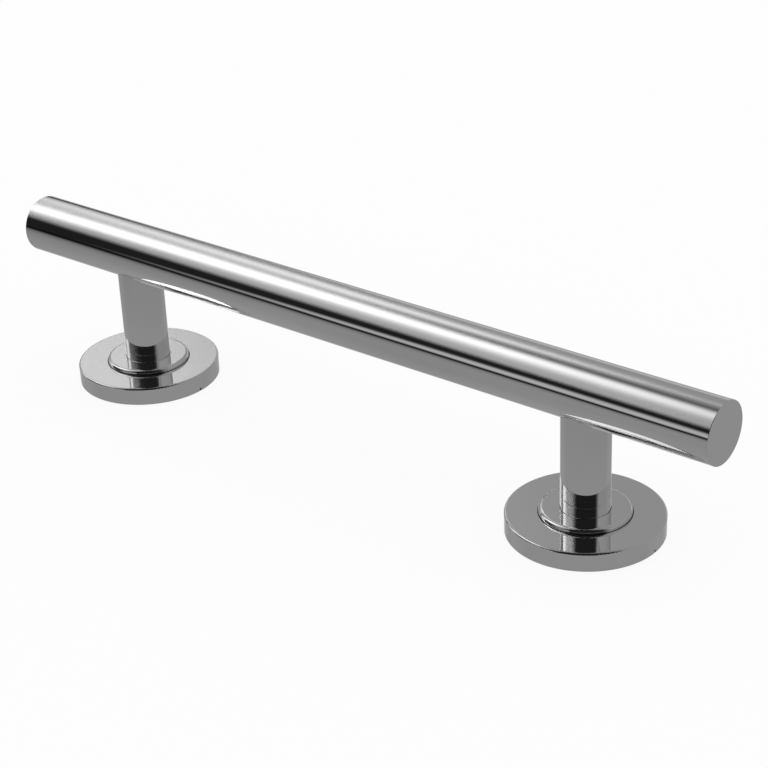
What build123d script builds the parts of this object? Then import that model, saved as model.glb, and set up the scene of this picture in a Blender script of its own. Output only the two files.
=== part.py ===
from build123d import *
import os

# Grab bar, in millimetres.
# The wall is the plane z = 0, and +Z points out of it, towards the hand.
# +X runs along the rail. The origin lies on the wall, midway between the posts.

# Rail
rail_length = 450.0
rail_d = 32.0
rail_wall = 1.5
hand_space = 60.4
post_to_end = 75.0

# End caps, plugged into the rail and flush with it
cap_face = 2.0
cap_edge = 0.3
cap_plug_depth = 6.0
cap_plug_wall = 2.5
cap_lead = 0.5
cap_fit = 0.05

# Posts
post_d = 25.0
post_wall = 1.5
saddle_fit = 0.03

# Wall plate with its hub and the socket for the foot of the post
plate_thickness = 5.0
socket_sink = 1.0
socket_fit = 0.1
hub_wall = 7.4
hub_edge = 0.5
spigot_web = 4.5
spigot_lead = 0.8
plate_edge = 0.3
rim_width = 4.0

# Holes for the wall screws
fixing_count = 4
fixing_hole_d = 6.5
fixing_head_d = 12.0
fixing_to_hub = 2.0
fixing_first_angle = 45.0

# Cover
cover_height = 10.0
cover_wall = 1.2
cover_edge = 1.0
cover_gap = 0.8
boss_height = 2.6
boss_gap = 2.05
boss_foot = 0.3
boss_upright = 0.3
bore_edge = 0.2
boss_over_hub = 0.4
cover_bore_fit = 0.15
notch_width = 1.2
notch_height = 1.8

# Rubber ring between the wall plate and the cover
grip_cord_d = 3.0
grip_fit = 0.05
grip_groove_play = 0.2

# Tie bolt, its spring washer and the saddle nut in the rail
bolt_d = 8.0
bolt_hole_d = 8.5
bolt_head_d = 13.0
bolt_head_height = 5.0
bolt_head_edge = 0.6
bolt_recess = 0.5
bolt_projection = 3.5
bolt_point = 0.8
hex_across_flats = 5.0
hex_depth = 3.0
counterbore_play = 0.75
washer_d = 12.7
washer_thickness = 2.0
washer_split = 1.5
washer_split_lean = 20.0
nut_length = 24.0
nut_width = 18.0
nut_height = 10.0
nut_edge = 1.0
nut_fit = 0.03
thread_fit = 0.05

# Grub screw that locks the post in the hub
grub_d = 4.0
grub_hex_across_flats = 2.0
grub_hex_depth = 2.5
grub_recess = 0.5
grub_point = 0.8
grub_fit = 0.02

# Places that follow from the sizes above
rail_r = rail_d / 2
rail_bore_r = rail_r - rail_wall
rail_z = hand_space + rail_r
tube_length = rail_length - 2 * cap_face
post_spacing = rail_length - 2 * post_to_end

post_r = post_d / 2
post_bore_r = post_r - post_wall
post_foot_z = plate_thickness - socket_sink

bolt_r = bolt_d / 2
head_top_z = bolt_recess + bolt_head_height
web_z = head_top_z + washer_thickness
spigot_top_z = web_z + spigot_web
counterbore_r = bolt_head_d / 2 + counterbore_play
nut_foot_z = rail_z - rail_bore_r + nut_fit
nut_top_z = nut_foot_z + nut_height
bolt_end_z = nut_top_z + bolt_projection

cover_bore_r = post_r + cover_bore_fit
boss_top_z = cover_height + boss_height
boss_edge = boss_height - boss_foot - boss_upright
boss_inner_edge = max(boss_edge - cover_wall, bore_edge)
hub_r = post_r + socket_fit + hub_wall
hub_top_z = boss_top_z - cover_wall - boss_over_hub
boss_r = hub_r + boss_gap + cover_wall

fixing_r = hub_r + fixing_to_hub + fixing_head_d / 2
plate_r = fixing_r + fixing_head_d / 2 + rim_width
cover_r = plate_r + cover_gap + cover_wall
grip_outer_r = cover_r - cover_wall - grip_fit
grip_centre_r = grip_outer_r - grip_cord_d / 2
grip_z = plate_thickness / 2
grub_z = (plate_thickness + hub_top_z) / 2


def disc(radius, low_z, high_z):
    # Upright round bar about the Z axis
    centre_z = (low_z + high_z) / 2
    return Pos(0, 0, centre_z) * Cylinder(radius, high_z - low_z)


def hex_bar(across_flats, low_z, high_z):
    # Upright hexagonal bar about the Z axis
    outline = RegularPolygon(across_flats / 2, 6, major_radius=False)
    return Pos(0, 0, low_z) * extrude(outline, high_z - low_z)


def along_rail(radius, length):
    # Round bar on the rail's own axis
    return Pos(0, 0, rail_z) * Rot(0, 90, 0) * Cylinder(radius, length)


def edges_at(solid, z):
    # Edges that lie wholly in one level plane
    return solid.edges().filter_by_position(Axis.Z, z - 0.001, z + 0.001)


def make_rail_tube():
    # Drawn tube with a hole in its underside above each post, for the tie bolt
    tube = along_rail(rail_r, tube_length) - along_rail(rail_bore_r, tube_length)
    for x in (-post_spacing / 2, post_spacing / 2):
        tube -= Pos(x, 0, 0) * disc(bolt_hole_d / 2, rail_z - rail_r, rail_z)
    return tube


def make_end_cap():
    # Turned cap about the Z axis: its face looks along +Z, and the tube's end is at z = 0
    plug_r = rail_bore_r - cap_fit
    face = disc(rail_r, 0, cap_face)
    face = fillet(edges_at(face, cap_face), cap_edge)
    plug = disc(plug_r, -cap_plug_depth, 0)
    plug = chamfer(edges_at(plug, -cap_plug_depth), cap_lead)
    plug -= disc(plug_r - cap_plug_wall, -cap_plug_depth, 0)
    return face + plug


def make_post():
    # Tube that stands in the hub's socket, coped at the top to fit round the rail
    tube = disc(post_r, post_foot_z, rail_z) - disc(post_bore_r, post_foot_z, rail_z)
    return tube - along_rail(rail_r + saddle_fit, 2 * post_d)


def make_cover():
    # Thin shell: a rim down to the wall, a flat face, and a raised boss round the post
    inner_r = cover_r - cover_wall
    inner_height = cover_height - cover_wall
    boss_inner_r = boss_r - cover_wall
    boss_inner_z = boss_top_z - cover_wall
    outline = Polyline(
        (cover_r, 0),
        (cover_r, cover_height),
        (boss_r, cover_height),
        (boss_r, boss_top_z),
        (cover_bore_r, boss_top_z),
        (cover_bore_r, boss_inner_z),
        (boss_inner_r, boss_inner_z),
        (boss_inner_r, inner_height),
        (inner_r, inner_height),
        (inner_r, 0),
        close=True,
    )
    section = make_face(outline)
    for corner, radius in (
        ((cover_r, cover_height), cover_edge),
        ((boss_r, cover_height), boss_foot),
        ((boss_r, boss_top_z), boss_edge),
        ((boss_inner_r, boss_inner_z), boss_inner_edge),
        ((cover_bore_r, boss_top_z), bore_edge),
    ):
        section = fillet(section.vertices().sort_by_distance(corner)[0], radius)
    shell = revolve(Plane.XZ * section, Axis.Z)

    # Small arched notch in the foot of the rim, to lift the cover off and let water out
    arch_r = notch_width / 2
    arch = Pos(cover_r, 0, notch_height - arch_r) * Rot(0, 90, 0) * Cylinder(arch_r, 4 * cover_wall)
    foot = Pos(cover_r, 0, 0) * Box(4 * cover_wall, notch_width, 2 * (notch_height - arch_r))
    return shell - arch - foot


def make_wall_plate():
    # Disc against the wall, with a hub that holds the foot of the post
    plate = disc(plate_r, 0, plate_thickness)
    plate = chamfer(edges_at(plate, plate_thickness), plate_edge)
    hub = disc(hub_r, plate_thickness, hub_top_z)
    hub = chamfer(edges_at(hub, hub_top_z), hub_edge)
    body = plate + hub

    # Ring-shaped socket for the post, with a spigot that enters the post's bore
    spigot_r = post_bore_r - socket_fit
    body -= disc(post_r + socket_fit, post_foot_z, hub_top_z)
    spigot = disc(spigot_r, post_foot_z, spigot_top_z)
    body += chamfer(edges_at(spigot, spigot_top_z), spigot_lead)

    # Way in for the tie bolt from the back
    body -= disc(counterbore_r, 0, web_z)
    body -= disc(bolt_hole_d / 2, web_z, spigot_top_z)

    # Groove for the grip ring
    groove_height = grip_cord_d + grip_groove_play
    groove_low = grip_z - groove_height / 2
    groove_high = grip_z + groove_height / 2
    groove_floor_r = grip_outer_r - grip_cord_d - grip_fit
    body -= disc(plate_r + cover_gap, groove_low, groove_high) - disc(groove_floor_r, groove_low, groove_high)

    # Countersunk holes for the wall screws
    head_depth = (fixing_head_d - fixing_hole_d) / 2
    for place in PolarLocations(fixing_r, fixing_count, start_angle=fixing_first_angle):
        body -= place * disc(fixing_hole_d / 2, 0, plate_thickness)
        countersink = Cone(fixing_hole_d / 2, fixing_head_d / 2, head_depth)
        body -= place * Pos(0, 0, plate_thickness - head_depth / 2) * countersink

    # Tapped hole for the grub screw
    grub_hole = Cylinder(grub_d / 2 + thread_fit, hub_wall + hub_edge)
    body -= Pos(0, -(hub_r - hub_wall / 2), grub_z) * Rot(90, 0, 0) * grub_hole
    return body


def make_grip_ring():
    return Pos(0, 0, grip_z) * Torus(grip_centre_r, grip_cord_d / 2)


def make_tie_bolt():
    # Low-head socket screw: its head sits in the plate's counterbore, its end in the saddle nut
    head = disc(bolt_head_d / 2, bolt_recess, head_top_z)
    head = chamfer(edges_at(head, bolt_recess), bolt_head_edge)
    head -= hex_bar(hex_across_flats, bolt_recess, bolt_recess + hex_depth)
    shank = disc(bolt_r, head_top_z, bolt_end_z)
    shank = chamfer(edges_at(shank, bolt_end_z), bolt_point)
    return head + shank


def make_spring_washer():
    # Split ring under the bolt's head
    ring = disc(washer_d / 2, head_top_z, web_z) - disc(bolt_r + thread_fit, head_top_z, web_z)
    split = Box(washer_d, washer_split, 3 * washer_thickness)
    split_z = (head_top_z + web_z) / 2
    return ring - Pos(washer_d / 2, 0, split_z) * Rot(washer_split_lean, 0, 0) * split


def make_saddle_nut():
    # Block that lies in the bottom of the rail's bore, with a flat top and a tapped hole
    block = Pos(0, 0, (nut_foot_z + nut_top_z) / 2) * Box(nut_length, nut_width, nut_height)
    block = chamfer(block.edges().filter_by(Axis.Z), nut_edge)
    block &= along_rail(rail_bore_r - nut_fit, nut_length)
    return block - disc(bolt_r + thread_fit, nut_foot_z, nut_top_z)


def make_grub_screw():
    # Socket set screw, driven in from the hub's side until its cup point meets the post
    length = hub_r - grub_recess - (post_r + grub_fit)
    screw = disc(grub_d / 2, 0, length)
    screw = chamfer(edges_at(screw, 0), grub_point)
    screw -= Pos(0, 0, grub_point / 2) * Cone(grub_d / 2 - grub_point, 0, grub_point)
    screw -= hex_bar(grub_hex_across_flats, length - grub_hex_depth, length)
    return Pos(0, -(post_r + grub_fit), grub_z) * Rot(90, 0, 0) * screw


def save(solid, node):
    export_step(solid, f"parts/{node}.step")


os.makedirs("parts", exist_ok=True)

save(make_rail_tube(), "rail_tube")

# The two end caps face away from each other
save(Pos(-tube_length / 2, 0, rail_z) * Rot(0, -90, 0) * make_end_cap(), "left_end_cap")
save(Pos(tube_length / 2, 0, rail_z) * Rot(0, 90, 0) * make_end_cap(), "right_end_cap")

# Both wall fixings are the same, one under each post
fixing_pieces = {
    "post": make_post(),
    "cover": make_cover(),
    "wall_plate": make_wall_plate(),
    "grip_ring": make_grip_ring(),
    "tie_bolt": make_tie_bolt(),
    "spring_washer": make_spring_washer(),
    "saddle_nut": make_saddle_nut(),
    "grub_screw": make_grub_screw(),
}
for side, x in (("left", -post_spacing / 2), ("right", post_spacing / 2)):
    for name, piece in fixing_pieces.items():
        save(Pos(x, 0, 0) * piece, f"{side}_{name}")
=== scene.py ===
import bpy
from math import cos, radians, sin
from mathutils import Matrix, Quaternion, Vector

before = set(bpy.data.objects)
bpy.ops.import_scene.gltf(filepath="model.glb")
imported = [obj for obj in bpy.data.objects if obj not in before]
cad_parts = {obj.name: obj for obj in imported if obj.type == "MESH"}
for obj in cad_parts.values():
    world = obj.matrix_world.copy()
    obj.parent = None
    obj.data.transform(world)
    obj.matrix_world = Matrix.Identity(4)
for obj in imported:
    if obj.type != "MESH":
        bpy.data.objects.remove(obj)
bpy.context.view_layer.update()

scene = bpy.context.scene
scene.view_settings.view_transform = "Standard"

# places on the bar that materials and studio go by, in metres
bar = {"postOffset": 0.15, "coverRadius": 0.0399, "railHeight": 0.0764}


# Node helpers

def addNode(tree, kind, **settings):
    node = tree.nodes.new(kind)
    for key, value in settings.items():
        setattr(node, key, value)
    return node


def plug(tree, value, socket):
    # a number or colour goes on the socket, an output is linked to it
    if isinstance(value, (int, float, tuple)):
        socket.default_value = value
    else:
        tree.links.new(value, socket)


def addMath(tree, operation, first, second=0.0):
    node = addNode(tree, "ShaderNodeMath", operation=operation)
    plug(tree, first, node.inputs[0])
    plug(tree, second, node.inputs[1])
    return node.outputs[0]


def addSpread(tree, value, start, end, low=0.0, high=1.0, smooth=True):
    # turns start..end into low..high
    kind = "SMOOTHSTEP" if smooth else "LINEAR"
    node = addNode(tree, "ShaderNodeMapRange", interpolation_type=kind)
    plug(tree, value, node.inputs["Value"])
    plug(tree, start, node.inputs["From Min"])
    plug(tree, end, node.inputs["From Max"])
    plug(tree, low, node.inputs["To Min"])
    plug(tree, high, node.inputs["To Max"])
    return node.outputs["Result"]


def addBetween(tree, share, low, high):
    # low where share is 0, high where it is 1
    return addMath(tree, "ADD", addMath(tree, "MULTIPLY", share, high - low), low)


def addTwoTone(tree, share, first, second):
    # 6, 7 and 2 are the colour sockets, after those for numbers and vectors
    tone = addNode(tree, "ShaderNodeMix", data_type="RGBA")
    plug(tree, share, tone.inputs[0])
    plug(tree, first, tone.inputs[6])
    plug(tree, second, tone.inputs[7])
    return tone.outputs[2]


def addSplit(tree, source):
    # X, Y and Z of the texture coordinate of that name
    place = addNode(tree, "ShaderNodeTexCoord")
    split = addNode(tree, "ShaderNodeSeparateXYZ")
    plug(tree, place.outputs[source], split.inputs[0])
    return split.outputs


def addPostRadius(tree, offset):
    # distance from the axis of the nearer post, and the height above the wall
    along, across, height = addSplit(tree, "Object")
    along = addMath(tree, "SUBTRACT", addMath(tree, "ABSOLUTE", along), offset)
    square = addMath(tree, "ADD", addMath(tree, "MULTIPLY", along, along),
                     addMath(tree, "MULTIPLY", across, across))
    return addMath(tree, "SQRT", square), height


def addGroup(tree, group, **values):
    node = addNode(tree, "ShaderNodeGroup", node_tree=group)
    for key, value in values.items():
        plug(tree, value, node.inputs[key])
    return node.outputs[0]


def newGroup(name, output, *inputs):
    group = bpy.data.node_groups.new(name, "ShaderNodeTree")
    for label in inputs:
        group.interface.new_socket(name=label, in_out="INPUT", socket_type="NodeSocketFloat")
    group.interface.new_socket(name=output, in_out="OUTPUT", socket_type="NodeSocketFloat")
    given = addNode(group, "NodeGroupInput")
    result = addNode(group, "NodeGroupOutput")
    return group, given.outputs, result.inputs[0]


def newMaterial(name):
    material = bpy.data.materials.new(name)
    material.use_nodes = True
    material.node_tree.nodes.clear()
    return material, material.node_tree, addNode(material.node_tree, "ShaderNodeOutputMaterial")


def newFinish(name, metallic):
    # a material of the bar itself, with the sockets of its shader
    material, tree, output = newMaterial(name)
    shader = addNode(tree, "ShaderNodeBsdfPrincipled")
    shader.inputs["Metallic"].default_value = metallic
    plug(tree, shader.outputs[0], output.inputs["Surface"])
    return material, tree, shader.inputs


def addRelief(tree, height, depth, sockets):
    bump = addNode(tree, "ShaderNodeBump")
    bump.inputs["Distance"].default_value = depth
    plug(tree, height, bump.inputs["Height"])
    plug(tree, bump.outputs[0], sockets["Normal"])


# Shared effects

def makeSoftEdge():
    # rises smoothly from 0 to 1 over the width
    group, given, result = newGroup("softEdge", "Mask", "Distance", "Width")
    plug(group, addSpread(group, given["Distance"], 0.0, given["Width"]), result)
    return group


patches = {"detail": 5.0, "roughness": 0.6, "from": 0.32, "to": 0.68}


def makeSoftPatches():
    # slow cloudy change from Low to High, as on anything handled and wiped
    group, given, result = newGroup("softPatches", "Value", "Scale", "Low", "High")
    place = addNode(group, "ShaderNodeTexCoord")
    clouds = addNode(group, "ShaderNodeTexNoise")
    clouds.inputs["Detail"].default_value = patches["detail"]
    clouds.inputs["Roughness"].default_value = patches["roughness"]
    plug(group, place.outputs["Object"], clouds.inputs["Vector"])
    plug(group, given["Scale"], clouds.inputs["Scale"])
    spread = addSpread(group, clouds.outputs[0], patches["from"], patches["to"],
                       given["Low"], given["High"])
    plug(group, spread, result)
    return group


scratches = {"leanAxis": (0.3, 0.8, 0.5), "gapScale": 55.0, "gapFrom": 0.52, "gapTo": 0.72}


def makeHairlines():
    # sparse fine scratches: the seams of a tilted cell pattern, with gaps in them
    group, given, result = newGroup("hairlines", "Mask", "Scale", "Turn", "Width")
    place = addNode(group, "ShaderNodeTexCoord")
    lean = addNode(group, "ShaderNodeVectorRotate", rotation_type="AXIS_ANGLE")
    lean.inputs["Axis"].default_value = scratches["leanAxis"]
    plug(group, place.outputs["Object"], lean.inputs["Vector"])
    plug(group, given["Turn"], lean.inputs["Angle"])
    cells = addNode(group, "ShaderNodeTexVoronoi", feature="DISTANCE_TO_EDGE")
    plug(group, lean.outputs[0], cells.inputs["Vector"])
    plug(group, given["Scale"], cells.inputs["Scale"])
    line = addSpread(group, cells.outputs["Distance"], 0.0, given["Width"], 1.0, 0.0, smooth=False)
    gaps = addNode(group, "ShaderNodeTexNoise")
    gaps.inputs["Scale"].default_value = scratches["gapScale"]
    plug(group, place.outputs["Object"], gaps.inputs["Vector"])
    some = addSpread(group, gaps.outputs[0], scratches["gapFrom"], scratches["gapTo"])
    plug(group, addMath(group, "MULTIPLY", line, some), result)
    return group


def makeCreaseShadeRing():
    # a thin soft-edged ring round each post at one radius, up to one height: the mask of the painted shade
    # in the crease round each boss foot
    group, given, result = newGroup("creaseShadeRing", "Mask", "Offset", "Radius", "Width", "Top")
    reach, height = addPostRadius(group, given["Offset"])
    away = addMath(group, "ABSOLUTE", addMath(group, "SUBTRACT", reach, given["Radius"]))
    half = addMath(group, "MULTIPLY", given["Width"], 0.5)
    near = addSpread(group, away, half, given["Width"], 1.0, 0.0)
    low = addMath(group, "LESS_THAN", height, given["Top"])
    plug(group, addMath(group, "MULTIPLY", near, low), result)
    return group


rings = {"scale": 1.0, "detail": 3.0}


def makeTurnedRings():
    # fine rings round each post's own axis, left by the lathe
    group, given, result = newGroup("turnedRings", "Value", "Offset", "Pitch")
    reach = addPostRadius(group, given["Offset"])[0]
    ringNoise = addNode(group, "ShaderNodeTexNoise", noise_dimensions="1D")
    ringNoise.inputs["Scale"].default_value = rings["scale"]
    ringNoise.inputs["Detail"].default_value = rings["detail"]
    plug(group, addMath(group, "DIVIDE", reach, given["Pitch"]), ringNoise.inputs["W"])
    plug(group, ringNoise.outputs[0], result)
    return group


softEdge = makeSoftEdge()
softPatches = makeSoftPatches()
hairlines = makeHairlines()
creaseShadeRing = makeCreaseShadeRing()
turnedRings = makeTurnedRings()


# Chrome

chrome = {
    "colour": (0.268, 0.268, 0.269, 1),
    "worn": (0.256, 0.256, 0.258, 1),       # where the polish is a little hazy
    # painted sheen: the colour is made lighter where the chrome is seen at a slant, standing in for a
    # stronger reflection there
    "slant": (0.311, 0.311, 0.312, 1),      # where it is seen at a slant
    "slantFrom": 0.42, "slantTo": 0.62,
    # painted reflection: a much lighter colour that only reflected rays see, so chrome mirrored in other
    # chrome looks brighter
    "paintedInMirror": (0.9, 0.9, 0.9, 1),         # as other chrome mirrors it
    "edgeTint": (0.65, 0.65, 0.65, 1),
    "roughLow": 0.02, "roughHigh": 0.036,
    "patchScale": 14.0,
    "lineScale": 160.0, "lineTurn": 0.7, "lineWidth": 0.006, "lineRough": 0.05,
}

# painted shade: the corner round the foot of each boss is darkened in the colour, standing in for the
# shade in that tight crease
bossCreaseShade = {"colour": (0.012, 0.012, 0.012, 1), "radius": 0.02338, "width": 0.00035, "top": 0.0103}


def makeChrome(name, paintedCreaseShade):
    material, tree, sockets = newFinish(name, 1.0)
    rays = addNode(tree, "ShaderNodeLightPath")
    weight = addNode(tree, "ShaderNodeLayerWeight")
    slant = addSpread(tree, weight.outputs["Facing"], chrome["slantFrom"], chrome["slantTo"], smooth=False)
    haze = addGroup(tree, softPatches, Scale=chrome["patchScale"], Low=0.0, High=1.0)
    lines = addGroup(tree, hairlines, Scale=chrome["lineScale"], Turn=chrome["lineTurn"],
                     Width=chrome["lineWidth"])
    tone = addTwoTone(tree, haze, chrome["colour"], chrome["worn"])
    # painted sheen: lighter colour where the chrome is seen at a slant
    tone = addTwoTone(tree, slant, tone, chrome["slant"])
    # painted reflection: lighter chrome where another mirror shows it
    tone = addTwoTone(tree, rays.outputs["Is Glossy Ray"], tone, chrome["paintedInMirror"])
    if paintedCreaseShade:
        # paints shade into the crease round the foot of each boss
        ring = addGroup(tree, creaseShadeRing, Offset=bar["postOffset"], Radius=bossCreaseShade["radius"],
                        Width=bossCreaseShade["width"], Top=bossCreaseShade["top"])
        tone = addTwoTone(tree, ring, tone, bossCreaseShade["colour"])
    plug(tree, tone, sockets["Base Color"])
    rough = addBetween(tree, haze, chrome["roughLow"], chrome["roughHigh"])
    scratch = addMath(tree, "MULTIPLY", lines, chrome["lineRough"])
    plug(tree, addMath(tree, "ADD", rough, scratch), sockets["Roughness"])
    sockets["Specular Tint"].default_value = chrome["edgeTint"]
    return material


# Steel and rubber behind the covers

plateSteel = {
    "bright": (0.56, 0.56, 0.555, 1), "dull": (0.40, 0.40, 0.40, 1),
    "pitch": 0.00035, "ringDepth": 0.00001,
    "patchScale": 60.0, "roughLow": 0.24, "roughHigh": 0.40,
}

zincSteel = {
    "bright": (0.60, 0.61, 0.63, 1), "dull": (0.42, 0.43, 0.45, 1),
    "patchScale": 420.0, "roughLow": 0.22, "roughHigh": 0.42,
}

ringRubber = {
    "black": (0.018, 0.018, 0.019, 1), "bloom": (0.05, 0.05, 0.052, 1),
    "patchScale": 130.0, "roughLow": 0.5, "roughHigh": 0.75,
    "grainScale": 2600.0, "grainDepth": 0.00002,
}


def makePlateSteel():
    material, tree, sockets = newFinish("turnedSteel", 1.0)
    turned = addGroup(tree, turnedRings, Offset=bar["postOffset"], Pitch=plateSteel["pitch"])
    rough = addGroup(tree, softPatches, Scale=plateSteel["patchScale"],
                     Low=plateSteel["roughLow"], High=plateSteel["roughHigh"])
    plug(tree, addTwoTone(tree, turned, plateSteel["bright"], plateSteel["dull"]), sockets["Base Color"])
    plug(tree, rough, sockets["Roughness"])
    addRelief(tree, turned, plateSteel["ringDepth"], sockets)
    return material


def makeZincSteel():
    material, tree, sockets = newFinish("zincPlate", 1.0)
    spangle = addGroup(tree, softPatches, Scale=zincSteel["patchScale"], Low=0.0, High=1.0)
    rough = addBetween(tree, spangle, zincSteel["roughLow"], zincSteel["roughHigh"])
    plug(tree, addTwoTone(tree, spangle, zincSteel["bright"], zincSteel["dull"]), sockets["Base Color"])
    plug(tree, rough, sockets["Roughness"])
    return material


def makeRingRubber():
    material, tree, sockets = newFinish("blackRubber", 0.0)
    bloom = addGroup(tree, softPatches, Scale=ringRubber["patchScale"], Low=0.0, High=1.0)
    grain = addGroup(tree, softPatches, Scale=ringRubber["grainScale"], Low=0.0, High=1.0)
    rough = addBetween(tree, bloom, ringRubber["roughLow"], ringRubber["roughHigh"])
    plug(tree, addTwoTone(tree, bloom, ringRubber["black"], ringRubber["bloom"]), sockets["Base Color"])
    plug(tree, rough, sockets["Roughness"])
    addRelief(tree, grain, ringRubber["grainDepth"], sockets)
    return material


def dress(material, *kinds):
    # the pieces come in left and right pairs, apart from the rail
    for name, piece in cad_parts.items():
        if name.removeprefix("left_").removeprefix("right_") in kinds:
            piece.material_slots[0].material = material


dress(makeChrome("polishedChrome", False), "rail_tube", "end_cap", "post")
dress(makeChrome("coverChrome", True), "cover")
dress(makePlateSteel(), "wall_plate")
dress(makeZincSteel(), "tie_bolt", "spring_washer", "saddle_nut", "grub_screw")
dress(makeRingRubber(), "grip_ring")
print("materials done")


# Sky and floor

sky = {"colour": (1, 1, 1, 1), "level": 0.98}

paper = {
    "radius": 12.0, "corners": 96,
    "colour": (0.9, 0.9, 0.9, 1),
    "white": 0.9,               # the rest of it takes light and shadow
    "near": 0.98, "far": 0.89,  # how bright mirrors show it, beside a cover and away from it
    "nearWidth": 0.1,
}


def makeSky():
    world = bpy.data.worlds.new("paleStudio")
    scene.world = world
    world.use_nodes = True
    background = world.node_tree.nodes["Background"]
    background.inputs["Color"].default_value = sky["colour"]
    background.inputs["Strength"].default_value = sky["level"]


def makeFloor():
    bpy.ops.object.select_all(action="DESELECT")
    bpy.ops.mesh.primitive_circle_add(vertices=paper["corners"], radius=paper["radius"], fill_type="NGON")
    floor = bpy.context.object
    floor.name = "studioFloor"
    material, tree, output = newMaterial("floorPaper")
    matt = addNode(tree, "ShaderNodeBsdfDiffuse")
    matt.inputs["Color"].default_value = paper["colour"]
    white = addNode(tree, "ShaderNodeEmission")
    rays = addNode(tree, "ShaderNodeLightPath")
    seen = addMath(tree, "MAXIMUM", rays.outputs["Is Camera Ray"], rays.outputs["Is Glossy Ray"])
    seen = addMath(tree, "MAXIMUM", seen, rays.outputs["Is Transmission Ray"])
    # the paper stays dark under the covers, where only the notches let the eye in
    reach = addPostRadius(tree, bar["postOffset"])[0]
    seen = addMath(tree, "MULTIPLY", seen, addMath(tree, "GREATER_THAN", reach, bar["coverRadius"]))
    # painted light: in mirrors the paper is brighter round each cover, as if the chrome threw a little
    # light on it
    beyond = addMath(tree, "SUBTRACT", reach, bar["coverRadius"])
    away = addGroup(tree, softEdge, Distance=beyond, Width=paper["nearWidth"])
    dim = addBetween(tree, away, 1.0 - paper["near"], 1.0 - paper["far"])
    dim = addMath(tree, "MULTIPLY", dim, rays.outputs["Is Glossy Ray"])
    plug(tree, addMath(tree, "SUBTRACT", 1.0, dim), white.inputs["Strength"])
    mix = addNode(tree, "ShaderNodeMixShader")
    plug(tree, addMath(tree, "MULTIPLY", seen, paper["white"]), mix.inputs["Fac"])
    plug(tree, matt.outputs[0], mix.inputs[1])
    plug(tree, white.outputs[0], mix.inputs[2])
    plug(tree, mix.outputs[0], output.inputs["Surface"])
    floor.data.materials.append(material)


# Cards, which only mirrors see

# azimuth 0 is straight in front, along -Y, and grows towards +X
# soft is how many degrees the left, right, bottom and top edges take to fade
# lean lifts the top edge towards the right, slant takes the left edge to the right above slantFrom
cards = {
    "key": {"act": "glow", "level": 23.6, "far": 8.0, "azimuth": (-113.7, -32.2),
            "elevation": (25.9, 72.0), "soft": (26.2, 40.4, 116.9, 26.6)},
    "keySkirt": {"act": "glow", "level": 3.2, "far": 8.1, "azimuth": (-111.7, -55.9),
                 "elevation": (-16.9, 59.4), "soft": (54.4, 27.9, 33.6, 18.3)},
    "sideGlow": {"act": "glow", "level": 1.6, "far": 8.2, "azimuth": (-150.3, -85.2),
                 "elevation": (11.3, 59.7), "soft": (22.3, 53.3, 35.9, 17.9)},
    "sideSkirt": {"act": "glow", "level": 1.33, "far": 8.3, "azimuth": (-143.2, -115.2),
                  "elevation": (7.0, 54.4), "soft": (21.4, 18.3, 9.9, 32.6)},
    "frontGlow": {"act": "glow", "level": 0.33, "far": 8.4, "azimuth": (-142.0, 0.0),
                  "elevation": (15.8, 162.0), "soft": (21.8, 20.0, 24.2, 36.8)},
    "backStrip": {"act": "glow", "level": 0.95, "far": 8.5, "azimuth": (-190.0, -137.0),
                  "elevation": (-10.0, 20.9), "soft": (10.0, 8.5, 3.0, 18.1)},
    "overheadShade": {"act": "shade", "level": 0.98, "far": 7.9, "azimuth": (-168.1, -72.9),
                      "elevation": (46.7, 90.0), "soft": (83.8, 43.1, 15.9, 5.0)},
    "lowShade": {"act": "shade", "level": 0.8, "far": 7.8, "azimuth": (-141.7, -120.0),
                 "elevation": (-10.0, 13.7), "soft": (9.2, 5.0, 5.0, 6.8)},
    "frontCurtain": {"act": "cover", "level": 0.044, "far": 7.7, "azimuth": (-76.0, 97.0),
                     "elevation": (-10.0, 29.6), "soft": (6.0, 24.0, 3.0, 13.5), "lean": 0.1},
    "frontCanopy": {"act": "cover", "level": 0.04, "far": 7.6, "azimuth": (-34.0, 97.0),
                    "elevation": (22.0, 88.0), "soft": (30.0, 24.0, 6.0, 0.1)},
    "ceilingShade": {"act": "shade", "level": 0.45, "far": 7.5, "azimuth": (-180.0, 180.0),
                     "elevation": (66.0, 88.0), "soft": (0.1, 0.1, 14.0, 0.1)},
    "backShade": {"act": "shade", "level": 0.2, "far": 7.3, "azimuth": (-190.0, -98.0),
                  "elevation": (-10.0, 45.0), "soft": (20.0, 36.0, 2.0, 45.0)},
    "frontPanel": {"act": "cover", "level": 1.45, "far": 1.4, "azimuth": (-50.1, 5.0),
                   "elevation": (-3.74, 17.1), "soft": (16.1, 4.0, 6.0, 11.2),
                   "slant": 1.385, "slantFrom": 2.0},
}

# no card's mesh goes above highest, even where its top does
cardMesh = {"across": 64, "up": 40, "highest": 88.0}


def skyPoint(azimuth, elevation, distance):
    side, rise = radians(azimuth), radians(elevation)
    return Vector((sin(side) * cos(rise), -cos(side) * cos(rise), sin(rise))) * distance


def cardSpan(card):
    # degrees that a card's mesh takes across and up, with what its lean adds
    left, right = card["azimuth"]
    bottom, top = card["elevation"]
    highest = min(top + card.get("lean", 0) * (right - left), cardMesh["highest"])
    return right - left, highest - bottom


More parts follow.
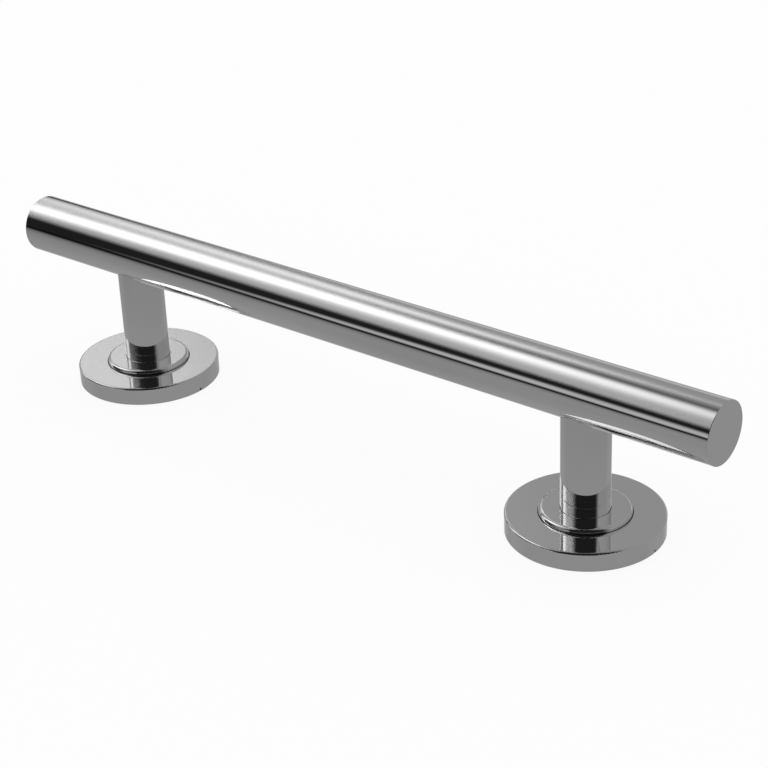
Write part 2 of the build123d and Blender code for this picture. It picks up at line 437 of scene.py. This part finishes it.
def addCardMask(tree, card):
    width, height = cardSpan(card)
    bottom, top = card["elevation"]
    spot = addSplit(tree, "UV")
    fromLeft = addMath(tree, "MULTIPLY", spot["X"], width)
    fromRight = addMath(tree, "SUBTRACT", width, fromLeft)
    fromBottom = addMath(tree, "MULTIPLY", spot["Y"], height)
    topEdge = addMath(tree, "MULTIPLY", fromLeft, card.get("lean", 0))
    topEdge = addMath(tree, "ADD", topEdge, top - bottom)
    fromTop = addMath(tree, "SUBTRACT", topEdge, fromBottom)
    if "slant" in card:
        over = addMath(tree, "SUBTRACT", fromBottom, card["slantFrom"] - bottom)
        over = addMath(tree, "MULTIPLY", addMath(tree, "MAXIMUM", over, 0.0), card["slant"])
        fromLeft = addMath(tree, "SUBTRACT", fromLeft, over)
    mask = 1.0
    for edge, soft in zip((fromLeft, fromRight, fromBottom, fromTop), card["soft"]):
        mask = addMath(tree, "MULTIPLY", addGroup(tree, softEdge, Distance=edge, Width=soft), mask)
    return mask


def makeCardMaterial(name, card):
    # glow adds light, shade takes a share of it away, cover hides what is behind
    material, tree, output = newMaterial(name)
    mask = addCardMask(tree, card)
    clear = addNode(tree, "ShaderNodeBsdfTransparent")
    if card["act"] == "shade":
        kept = addMath(tree, "SUBTRACT", 1.0, addMath(tree, "MULTIPLY", mask, card["level"]))
        plug(tree, kept, clear.inputs["Color"])
        plug(tree, clear.outputs[0], output.inputs["Surface"])
        return material
    light = addNode(tree, "ShaderNodeEmission")
    if card["act"] == "glow":
        plug(tree, addMath(tree, "MULTIPLY", mask, card["level"]), light.inputs["Strength"])
        both = addNode(tree, "ShaderNodeAddShader")
        plug(tree, clear.outputs[0], both.inputs[0])
        plug(tree, light.outputs[0], both.inputs[1])
    else:
        light.inputs["Strength"].default_value = card["level"]
        both = addNode(tree, "ShaderNodeMixShader")
        plug(tree, mask, both.inputs["Fac"])
        plug(tree, clear.outputs[0], both.inputs[1])
        plug(tree, light.outputs[0], both.inputs[2])
    plug(tree, both.outputs[0], output.inputs["Surface"])
    return material


def onlyInMirrors(piece):
    piece.visible_camera = False
    piece.visible_diffuse = False
    piece.visible_shadow = False


def makeCard(name, card):
    # part of a sphere round the middle of the rail
    bpy.ops.object.select_all(action="DESELECT")
    bpy.ops.mesh.primitive_grid_add(x_subdivisions=cardMesh["across"], y_subdivisions=cardMesh["up"],
                                    size=1)
    piece = bpy.context.object
    piece.name = name
    width, height = cardSpan(card)
    for point in piece.data.vertices:
        azimuth = card["azimuth"][0] + (point.co.x + 0.5) * width
        elevation = card["elevation"][0] + (point.co.y + 0.5) * height
        point.co = skyPoint(azimuth, elevation, card["far"]) + Vector((0, 0, bar["railHeight"]))
    piece.data.materials.append(makeCardMaterial(name, card))
    onlyInMirrors(piece)


# Dark mat in front, which gives chrome its thin dark line under the horizon

floorMat = {
    "start": 0.164, "fade": 0.672, "turn": -23.9, "dark": 0.975,
    "width": 9.0, "depth": 8.0, "lift": 0.0006,
}


def makeFloorMat():
    bpy.ops.object.select_all(action="DESELECT")
    bpy.ops.mesh.primitive_plane_add(size=1)
    mat = bpy.context.object
    mat.name = "floorMat"
    turn = radians(floorMat["turn"])
    nearEdge = Vector((0, -floorMat["start"], floorMat["lift"]))
    side = Vector((cos(turn), sin(turn), 0)) * floorMat["width"]
    away = Vector((sin(turn), -cos(turn), 0)) * floorMat["depth"]
    for point in mat.data.vertices:
        point.co = nearEdge + side * point.co.x + away * (0.5 - point.co.y)
    material, tree, output = newMaterial("matFelt")
    back = addSplit(tree, "UV")["Y"]
    ahead = addMath(tree, "MULTIPLY", addMath(tree, "SUBTRACT", 1.0, back), floorMat["depth"])
    fade = addGroup(tree, softEdge, Distance=ahead, Width=floorMat["fade"])
    clear = addNode(tree, "ShaderNodeBsdfTransparent")
    kept = addMath(tree, "SUBTRACT", 1.0, addMath(tree, "MULTIPLY", fade, floorMat["dark"]))
    plug(tree, kept, clear.inputs["Color"])
    plug(tree, clear.outputs[0], output.inputs["Surface"])
    mat.data.materials.append(material)
    onlyInMirrors(mat)


makeSky()
makeFloor()
makeFloorMat()
for cardName, cardValues in cards.items():
    makeCard(cardName, cardValues)
print("studio done")


# Camera

cameraView = {
    "azimuth": 39.698, "elevation": 27.179, "roll": -2.465,
    "distance": 1.03167, "target": (0.025148, 0.0, 0.043504),
    "lens": 93.247, "sensor": 36.0, "clipStart": 0.01, "clipEnd": 100.0,
}


def makeCamera():
    data = bpy.data.cameras.new("photoCamera")
    data.sensor_fit = "HORIZONTAL"
    data.sensor_width = cameraView["sensor"]
    data.lens = cameraView["lens"]
    data.clip_start = cameraView["clipStart"]
    data.clip_end = cameraView["clipEnd"]
    camera = bpy.data.objects.new("photoCamera", data)
    scene.collection.objects.link(camera)
    back = skyPoint(cameraView["azimuth"], cameraView["elevation"], 1)
    turn = back.to_track_quat("Z", "Y") @ Quaternion((0, 0, 1), radians(cameraView["roll"]))
    camera.location = Vector(cameraView["target"]) + back * cameraView["distance"]
    camera.rotation_mode = "QUATERNION"
    camera.rotation_quaternion = turn
    scene.camera = camera


makeCamera()
print("camera done")
